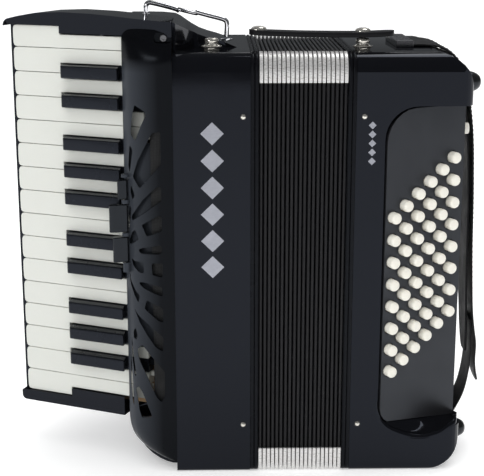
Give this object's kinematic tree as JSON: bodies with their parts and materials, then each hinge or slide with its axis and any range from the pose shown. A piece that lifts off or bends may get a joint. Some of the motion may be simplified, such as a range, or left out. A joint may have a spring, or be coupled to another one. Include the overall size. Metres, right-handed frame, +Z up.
{
  "type": "piano accordion",
  "caption": "Black piano accordion with piano keys, a slotted grille, closed bellows with metal corner guards, and slanted rows of bass buttons.",
  "frame": {"origin": "middle of the underside, under the centre of the whole object's box", "axes": "+X from the piano keyboard towards the bass side, +Y from the front face to the player, +Z up"},
  "size_m": [0.3828, 0.1707, 0.3758],
  "materials": {
    "black_lacquer": "high-gloss black lacquer",
    "black_plastic": "satin black moulding",
    "black_satin": "satin black",
    "board_satin": "fine satin, dark grey",
    "mesh_cloth": "fine woven mesh",
    "bellows_leathercloth": "coated cloth over card, folded",
    "guard_steel": "nickel-plated sheet",
    "steel": "drawn steel",
    "nickel": "nickel plate",
    "chrome": "bright chrome",
    "clip_steel": "dark brushed steel",
    "wood": "bare spruce and plywood",
    "rubber": "soft black rubber",
    "strap_leather": "black leather, fine grain",
    "switch_plastic": "glossy dark grey",
    "cream_button": "polished cream",
    "white_key": "polished off-white",
    "black_key": "polished black"
  },
  "bodies": {
    "treble": {"treble_casing": "black_lacquer", "fingerboard": "black_lacquer", "key_axle": "steel", "treble_grille": "black_plastic", "grille_cloth": "mesh_cloth", "treble_foundation_board": "wood", "treble_reed_blocks": "wood", "treble_bellows_frame": "black_satin", "treble_fasteners": "nickel", "strap_bail": "chrome", "bellows_folds": "bellows_leathercloth", "bellows_corner_guards": "guard_steel"},
    "bass": {"bass_casing": "black_lacquer", "bass_bellows_frame": "black_satin", "bass_fasteners": "nickel", "bass_button_board": "board_satin", "bass_reed_blocks": "wood", "bass_mechanism": "steel", "bass_back_cover": "black_plastic", "rubber_feet": "rubber", "bass_strap": "strap_leather", "bass_strap_pad": "strap_leather", "bass_strap_clip": "clip_steel"},
    "key_01": {"key_01": "white_key"},
    "key_02": {"key_02": "white_key"},
    "key_03": {"key_03": "black_key"},
    "key_04": {"key_04": "white_key"},
    "key_05": {"key_05": "black_key"},
    "key_06": {"key_06": "white_key"},
    "key_07": {"key_07": "white_key"},
    "key_08": {"key_08": "black_key"},
    "key_09": {"key_09": "white_key"},
    "key_10": {"key_10": "black_key"},
    "key_11": {"key_11": "white_key"},
    "key_12": {"key_12": "black_key"},
    "key_13": {"key_13": "white_key"},
    "key_14": {"key_14": "white_key"},
    "key_15": {"key_15": "black_key"},
    "key_16": {"key_16": "white_key"},
    "key_17": {"key_17": "black_key"},
    "key_18": {"key_18": "white_key"},
    "key_19": {"key_19": "white_key"},
    "key_20": {"key_20": "black_key"},
    "key_21": {"key_21": "white_key"},
    "key_22": {"key_22": "black_key"},
    "key_23": {"key_23": "white_key"},
    "key_24": {"key_24": "black_key"},
    "key_25": {"key_25": "white_key"},
    "key_26": {"key_26": "white_key"},
    "register_switch_1": {"register_switch_1": "switch_plastic"},
    "register_switch_2": {"register_switch_2": "switch_plastic"},
    "register_switch_3": {"register_switch_3": "switch_plastic"},
    "counter_bass_buttons": {"counter_bass_buttons": "cream_button"},
    "bass_note_buttons": {"bass_note_buttons": "cream_button"},
    "major_chord_buttons": {"major_chord_buttons": "cream_button"},
    "minor_chord_buttons": {"minor_chord_buttons": "cream_button"},
    "seventh_chord_buttons": {"seventh_chord_buttons": "cream_button"},
    "diminished_chord_buttons": {"diminished_chord_buttons": "cream_button"},
    "air_button": {"air_button": "cream_button"},
    "bellows_strap": {"bellows_strap": "strap_leather"}
  },
  "joints": [
    {"name": "bellows_open", "type": "slide", "parent": "treble", "child": "bass", "axis": [1, 0, 0], "range_m": [0, 0.3], "deforming": ["bellows_folds", "bellows_corner_guards"]},
    {"name": "key_01_press", "type": "hinge", "parent": "treble", "child": "key_01", "pos_m": [-0.11057, -0.0418, 0.2], "axis": [0, 0, -1], "range_deg": [0, 2.8], "stiffness_Nm_per_rad": 0.8, "springref_deg": -2.86},
    {"name": "key_02_press", "type": "hinge", "parent": "treble", "child": "key_02", "pos_m": [-0.11057, -0.0418, 0.2], "axis": [0, 0, -1], "range_deg": [0, 2.8], "stiffness_Nm_per_rad": 0.8, "springref_deg": -2.86},
    {"name": "key_03_press", "type": "hinge", "parent": "treble", "child": "key_03", "pos_m": [-0.11057, -0.0418, 0.2], "axis": [0, 0, -1], "range_deg": [0, 2.8], "stiffness_Nm_per_rad": 0.8, "springref_deg": -2.86},
    {"name": "key_04_press", "type": "hinge", "parent": "treble", "child": "key_04", "pos_m": [-0.11057, -0.0418, 0.2], "axis": [0, 0, -1], "range_deg": [0, 2.8], "stiffness_Nm_per_rad": 0.8, "springref_deg": -2.86},
    {"name": "key_05_press", "type": "hinge", "parent": "treble", "child": "key_05", "pos_m": [-0.11057, -0.0418, 0.2], "axis": [0, 0, -1], "range_deg": [0, 2.8], "stiffness_Nm_per_rad": 0.8, "springref_deg": -2.86},
    {"name": "key_06_press", "type": "hinge", "parent": "treble", "child": "key_06", "pos_m": [-0.11057, -0.0418, 0.2], "axis": [0, 0, -1], "range_deg": [0, 2.8], "stiffness_Nm_per_rad": 0.8, "springref_deg": -2.86},
    {"name": "key_07_press", "type": "hinge", "parent": "treble", "child": "key_07", "pos_m": [-0.11057, -0.0418, 0.2], "axis": [0, 0, -1], "range_deg": [0, 2.8], "stiffness_Nm_per_rad": 0.8, "springref_deg": -2.86},
    {"name": "key_08_press", "type": "hinge", "parent": "treble", "child": "key_08", "pos_m": [-0.11057, -0.0418, 0.2], "axis": [0, 0, -1], "range_deg": [0, 2.8], "stiffness_Nm_per_rad": 0.8, "springref_deg": -2.86},
    {"name": "key_09_press", "type": "hinge", "parent": "treble", "child": "key_09", "pos_m": [-0.11057, -0.0418, 0.2], "axis": [0, 0, -1], "range_deg": [0, 2.8], "stiffness_Nm_per_rad": 0.8, "springref_deg": -2.86},
    {"name": "key_10_press", "type": "hinge", "parent": "treble", "child": "key_10", "pos_m": [-0.11057, -0.0418, 0.2], "axis": [0, 0, -1], "range_deg": [0, 2.8], "stiffness_Nm_per_rad": 0.8, "springref_deg": -2.86},
    {"name": "key_11_press", "type": "hinge", "parent": "treble", "child": "key_11", "pos_m": [-0.11057, -0.0418, 0.2], "axis": [0, 0, -1], "range_deg": [0, 2.8], "stiffness_Nm_per_rad": 0.8, "springref_deg": -2.86},
    {"name": "key_12_press", "type": "hinge", "parent": "treble", "child": "key_12", "pos_m": [-0.11057, -0.0418, 0.2], "axis": [0, 0, -1], "range_deg": [0, 2.8], "stiffness_Nm_per_rad": 0.8, "springref_deg": -2.86},
    {"name": "key_13_press", "type": "hinge", "parent": "treble", "child": "key_13", "pos_m": [-0.11057, -0.0418, 0.2], "axis": [0, 0, -1], "range_deg": [0, 2.8], "stiffness_Nm_per_rad": 0.8, "springref_deg": -2.86},
    {"name": "key_14_press", "type": "hinge", "parent": "treble", "child": "key_14", "pos_m": [-0.11057, -0.0418, 0.2], "axis": [0, 0, -1], "range_deg": [0, 2.8], "stiffness_Nm_per_rad": 0.8, "springref_deg": -2.86},
    {"name": "key_15_press", "type": "hinge", "parent": "treble", "child": "key_15", "pos_m": [-0.11057, -0.0418, 0.2], "axis": [0, 0, -1], "range_deg": [0, 2.8], "stiffness_Nm_per_rad": 0.8, "springref_deg": -2.86},
    {"name": "key_16_press", "type": "hinge", "parent": "treble", "child": "key_16", "pos_m": [-0.11057, -0.0418, 0.2], "axis": [0, 0, -1], "range_deg": [0, 2.8], "stiffness_Nm_per_rad": 0.8, "springref_deg": -2.86},
    {"name": "key_17_press", "type": "hinge", "parent": "treble", "child": "key_17", "pos_m": [-0.11057, -0.0418, 0.2], "axis": [0, 0, -1], "range_deg": [0, 2.8], "stiffness_Nm_per_rad": 0.8, "springref_deg": -2.86},
    {"name": "key_18_press", "type": "hinge", "parent": "treble", "child": "key_18", "pos_m": [-0.11057, -0.0418, 0.2], "axis": [0, 0, -1], "range_deg": [0, 2.8], "stiffness_Nm_per_rad": 0.8, "springref_deg": -2.86},
    {"name": "key_19_press", "type": "hinge", "parent": "treble", "child": "key_19", "pos_m": [-0.11057, -0.0418, 0.2], "axis": [0, 0, -1], "range_deg": [0, 2.8], "stiffness_Nm_per_rad": 0.8, "springref_deg": -2.86},
    {"name": "key_20_press", "type": "hinge", "parent": "treble", "child": "key_20", "pos_m": [-0.11057, -0.0418, 0.2], "axis": [0, 0, -1], "range_deg": [0, 2.8], "stiffness_Nm_per_rad": 0.8, "springref_deg": -2.86},
    {"name": "key_21_press", "type": "hinge", "parent": "treble", "child": "key_21", "pos_m": [-0.11057, -0.0418, 0.2], "axis": [0, 0, -1], "range_deg": [0, 2.8], "stiffness_Nm_per_rad": 0.8, "springref_deg": -2.86},
    {"name": "key_22_press", "type": "hinge", "parent": "treble", "child": "key_22", "pos_m": [-0.11057, -0.0418, 0.2], "axis": [0, 0, -1], "range_deg": [0, 2.8], "stiffness_Nm_per_rad": 0.8, "springref_deg": -2.86},
    {"name": "key_23_press", "type": "hinge", "parent": "treble", "child": "key_23", "pos_m": [-0.11057, -0.0418, 0.2], "axis": [0, 0, -1], "range_deg": [0, 2.8], "stiffness_Nm_per_rad": 0.8, "springref_deg": -2.86},
    {"name": "key_24_press", "type": "hinge", "parent": "treble", "child": "key_24", "pos_m": [-0.11057, -0.0418, 0.2], "axis": [0, 0, -1], "range_deg": [0, 2.8], "stiffness_Nm_per_rad": 0.8, "springref_deg": -2.86},
    {"name": "key_25_press", "type": "hinge", "parent": "treble", "child": "key_25", "pos_m": [-0.11057, -0.0418, 0.2], "axis": [0, 0, -1], "range_deg": [0, 2.8], "stiffness_Nm_per_rad": 0.8, "springref_deg": -2.86},
    {"name": "key_26_press", "type": "hinge", "parent": "treble", "child": "key_26", "pos_m": [-0.11057, -0.0418, 0.2], "axis": [0, 0, -1], "range_deg": [0, 2.8], "stiffness_Nm_per_rad": 0.8, "springref_deg": -2.86},
    {"name": "register_1_rock", "type": "hinge", "parent": "treble", "child": "register_switch_1", "pos_m": [-0.0935, -0.0675, 0.2], "axis": [0, 0, -1], "range_deg": [0, 6]},
    {"name": "register_2_rock", "type": "hinge", "parent": "treble", "child": "register_switch_2", "pos_m": [-0.0935, -0.0675, 0.2], "axis": [0, 0, -1], "range_deg": [0, 6]},
    {"name": "register_3_rock", "type": "hinge", "parent": "treble", "child": "register_switch_3", "pos_m": [-0.0935, -0.0675, 0.2], "axis": [0, 0, -1], "range_deg": [0, 6]},
    {"name": "counter_bass_buttons_press", "type": "slide", "parent": "bass", "child": "counter_bass_buttons", "axis": [-0.4384, 0.8988, 0], "range_m": [0, 0.004], "stiffness_N_per_m": 200, "springref_m": -0.004},
    {"name": "bass_note_buttons_press", "type": "slide", "parent": "bass", "child": "bass_note_buttons", "axis": [-0.4384, 0.8988, 0], "range_m": [0, 0.004], "stiffness_N_per_m": 200, "springref_m": -0.004},
    {"name": "major_chord_buttons_press", "type": "slide", "parent": "bass", "child": "major_chord_buttons", "axis": [-0.4384, 0.8988, 0], "range_m": [0, 0.004], "stiffness_N_per_m": 200, "springref_m": -0.004},
    {"name": "minor_chord_buttons_press", "type": "slide", "parent": "bass", "child": "minor_chord_buttons", "axis": [-0.4384, 0.8988, 0], "range_m": [0, 0.004], "stiffness_N_per_m": 200, "springref_m": -0.004},
    {"name": "seventh_chord_buttons_press", "type": "slide", "parent": "bass", "child": "seventh_chord_buttons", "axis": [-0.4384, 0.8988, 0], "range_m": [0, 0.004], "stiffness_N_per_m": 200, "springref_m": -0.004},
    {"name": "diminished_chord_buttons_press", "type": "slide", "parent": "bass", "child": "diminished_chord_buttons", "axis": [-0.4384, 0.8988, 0], "range_m": [0, 0.004], "stiffness_N_per_m": 200, "springref_m": -0.004},
    {"name": "air_button_press", "type": "slide", "parent": "bass", "child": "air_button", "axis": [-1, 0, 0], "range_m": [0, 0.004], "stiffness_N_per_m": 300, "springref_m": -0.003},
    {"name": "bellows_strap_swivel", "type": "hinge", "parent": "bass", "child": "bellows_strap", "pos_m": [0.092, -0.0545, 0.35], "axis": [0, 0, 1], "range_deg": [-60, 60]}
  ]
}
